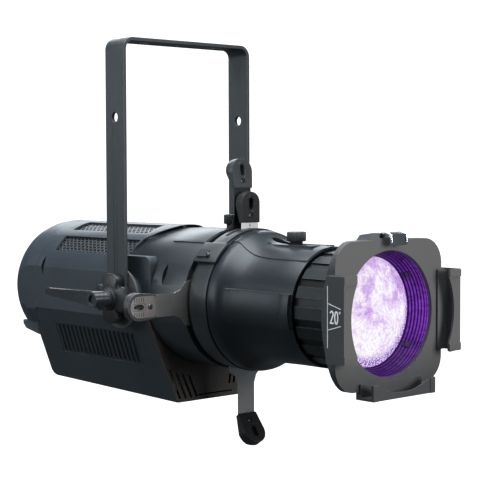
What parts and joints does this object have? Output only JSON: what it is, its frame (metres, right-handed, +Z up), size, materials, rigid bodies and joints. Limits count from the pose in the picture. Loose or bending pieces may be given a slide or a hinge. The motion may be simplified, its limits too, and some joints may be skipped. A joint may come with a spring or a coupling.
{
  "type": "ellipsoidal spotlight",
  "caption": "Stage profile spotlight with LED engine, U-shaped yoke, framing shutters, focusing lens tube and square accessory holder.",
  "frame": {"origin": "centre of the clamp bolt hole in the top face of the yoke's cross bar", "axes": "+X along the beam with the head level, +Y across the fixture along the tilt axis, +Z up along the clamp bolt"},
  "size_m": [0.66, 0.346, 0.5029],
  "materials": {
    "yoke_paint": "satin",
    "housing_paint": "satin",
    "barrel_paint": "satin",
    "tube_paint": "satin",
    "holder_paint": "matte",
    "gate_paint": "satin",
    "cover_paint": "satin",
    "grille_metal": "satin",
    "louvre_paint": "satin",
    "bay_plastic": "satin",
    "bare_aluminium": "satin",
    "steel": "satin",
    "lever_metal": "gloss",
    "knob_plastic": "satin",
    "grip_plastic": "satin",
    "friction_fibre": "matte",
    "latch_metal": "polished",
    "lens_glass": "polished",
    "baffle_black": "matte",
    "panel_black": "satin",
    "socket_black": "satin",
    "socket_metal": "satin",
    "display_glass": "gloss",
    "button_rubber": "matte",
    "fan_plastic": "satin",
    "board_white": "satin",
    "emitter_copper": "satin",
    "board_green": "satin",
    "reflector": "polished"
  },
  "bodies": {
    "yoke": {"yoke": "yoke_paint"},
    "head": {"friction_disc_near": "friction_fibre", "friction_disc_far": "friction_fibre", "pivot_boss_near": "housing_paint", "pivot_boss_far": "housing_paint", "pivot_stud_near": "steel", "pivot_stud_far": "steel", "pivot_nut_far": "steel", "rear_housing": "housing_paint", "top_grille": "grille_metal", "louvre_near": "louvre_paint", "louvre_far": "louvre_paint", "front_cover": "cover_paint", "rear_cap": "housing_paint", "cable_bay": "bay_plastic", "connector_panel": "panel_black", "power_inlet": "socket_black", "data_in": "socket_metal", "data_out": "socket_metal", "fuse_holder": "socket_black", "control_panel": "panel_black", "display": "display_glass", "fan_frame": "fan_plastic", "heat_sink": "bare_aluminium", "led_board": "board_white", "led_emitters": "emitter_copper", "collimator": "lens_glass", "light_pipe": "reflector", "driver_board": "board_green", "power_supply": "bare_aluminium", "mid_barrel": "barrel_paint"},
    "tilt_knob": {"tilt_knob": "knob_plastic"},
    "tilt_lever": {"tilt_lever": "lever_metal"},
    "fan_rotor": {"fan_rotor": "fan_plastic"},
    "button_1": {"button_1": "button_rubber"},
    "button_2": {"button_2": "button_rubber"},
    "button_3": {"button_3": "button_rubber"},
    "button_4": {"button_4": "button_rubber"},
    "lock_knob": {"lock_knob": "knob_plastic"},
    "gate": {"gate_housing": "gate_paint", "gate_aperture": "steel", "top_cover": "gate_paint", "outer_tube": "tube_paint"},
    "shutter_top": {"shutter_top": "steel", "grip_top": "grip_plastic"},
    "shutter_far": {"shutter_far": "steel", "grip_far": "grip_plastic"},
    "shutter_bottom": {"shutter_bottom": "steel", "grip_bottom": "grip_plastic"},
    "shutter_near": {"shutter_near": "steel", "grip_near": "grip_plastic"},
    "gobo": {"gobo_holder": "steel", "gobo_grip": "grip_plastic"},
    "lens_carriage": {"lens_tube": "knob_plastic", "rear_lens": "lens_glass", "front_lens": "lens_glass", "baffle": "baffle_black", "accessory_holder": "holder_paint"},
    "focus_knob": {"focus_knob": "knob_plastic"},
    "latch": {"latch": "latch_metal"}
  },
  "joints": [
    {"name": "head_tilt", "type": "hinge", "parent": "yoke", "child": "head", "pos_m": [0, 0, -0.3242], "axis": [0, 1, 0], "range_deg": [-45, 90]},
    {"name": "tilt_knob_turn", "type": "hinge", "parent": "head", "child": "tilt_knob", "pos_m": [0, -0.111, -0.3242], "axis": [0, 1, 0], "range_deg": [-180, 180]},
    {"name": "tilt_lever_swing", "type": "hinge", "parent": "head", "child": "tilt_lever", "pos_m": [0, -0.132, -0.3242], "axis": [0, 1, 0], "range_deg": [-45, 45]},
    {"name": "fan_spin", "type": "hinge", "parent": "head", "child": "fan_rotor", "pos_m": [-0.2085, 0, -0.3242], "axis": [1, 0, 0], "continuous": true},
    {"name": "button_1_press", "type": "slide", "parent": "head", "child": "button_1", "axis": [1, 0, 0], "range_m": [0, 0.0025], "stiffness_N_per_m": 500, "springref_m": -0.001},
    {"name": "button_2_press", "type": "slide", "parent": "head", "child": "button_2", "axis": [1, 0, 0], "range_m": [0, 0.0025], "stiffness_N_per_m": 500, "springref_m": -0.001},
    {"name": "button_3_press", "type": "slide", "parent": "head", "child": "button_3", "axis": [1, 0, 0], "range_m": [0, 0.0025], "stiffness_N_per_m": 500, "springref_m": -0.001},
    {"name": "button_4_press", "type": "slide", "parent": "head", "child": "button_4", "axis": [1, 0, 0], "range_m": [0, 0.0025], "stiffness_N_per_m": 500, "springref_m": -0.001},
    {"name": "lock_knob_turn", "type": "hinge", "parent": "head", "child": "lock_knob", "pos_m": [0.1, 0, -0.2262], "axis": [0, 0, 1], "range_deg": [-180, 180]},
    {"name": "gate_turn", "type": "hinge", "parent": "head", "child": "gate", "pos_m": [0.13, 0, -0.3242], "axis": [1, 0, 0], "range_deg": [-25, 25]},
    {"name": "shutter_top_slide", "type": "slide", "parent": "gate", "child": "shutter_top", "axis": [0, 0, -1], "range_m": [0, 0.045]},
    {"name": "shutter_far_slide", "type": "slide", "parent": "gate", "child": "shutter_far", "axis": [0, -1, 0], "range_m": [0, 0.045]},
    {"name": "shutter_bottom_slide", "type": "slide", "parent": "gate", "child": "shutter_bottom", "axis": [0, 0, 1], "range_m": [0, 0.045]},
    {"name": "shutter_near_slide", "type": "slide", "parent": "gate", "child": "shutter_near", "axis": [0, 1, 0], "range_m": [0, 0.045]},
    {"name": "gobo_slide", "type": "slide", "parent": "gate", "child": "gobo", "axis": [0, 0, 1], "range_m": [0, 0.1]},
    {"name": "focus_slide", "type": "slide", "parent": "gate", "child": "lens_carriage", "axis": [1, 0, 0], "range_m": [-0.016, 0.028]},
    {"name": "focus_knob_turn", "type": "hinge", "parent": "lens_carriage", "child": "focus_knob", "pos_m": [0.216, 0, -0.2442], "axis": [0, 0, 1], "range_deg": [-180, 180]},
    {"name": "latch_swing", "type": "hinge", "parent": "lens_carriage", "child": "latch", "pos_m": [0.359, 0, -0.2382], "axis": [0, -1, 0], "range_deg": [0, 100], "stiffness_Nm_per_rad": 0.05, "springref_deg": -17.19}
  ]
}
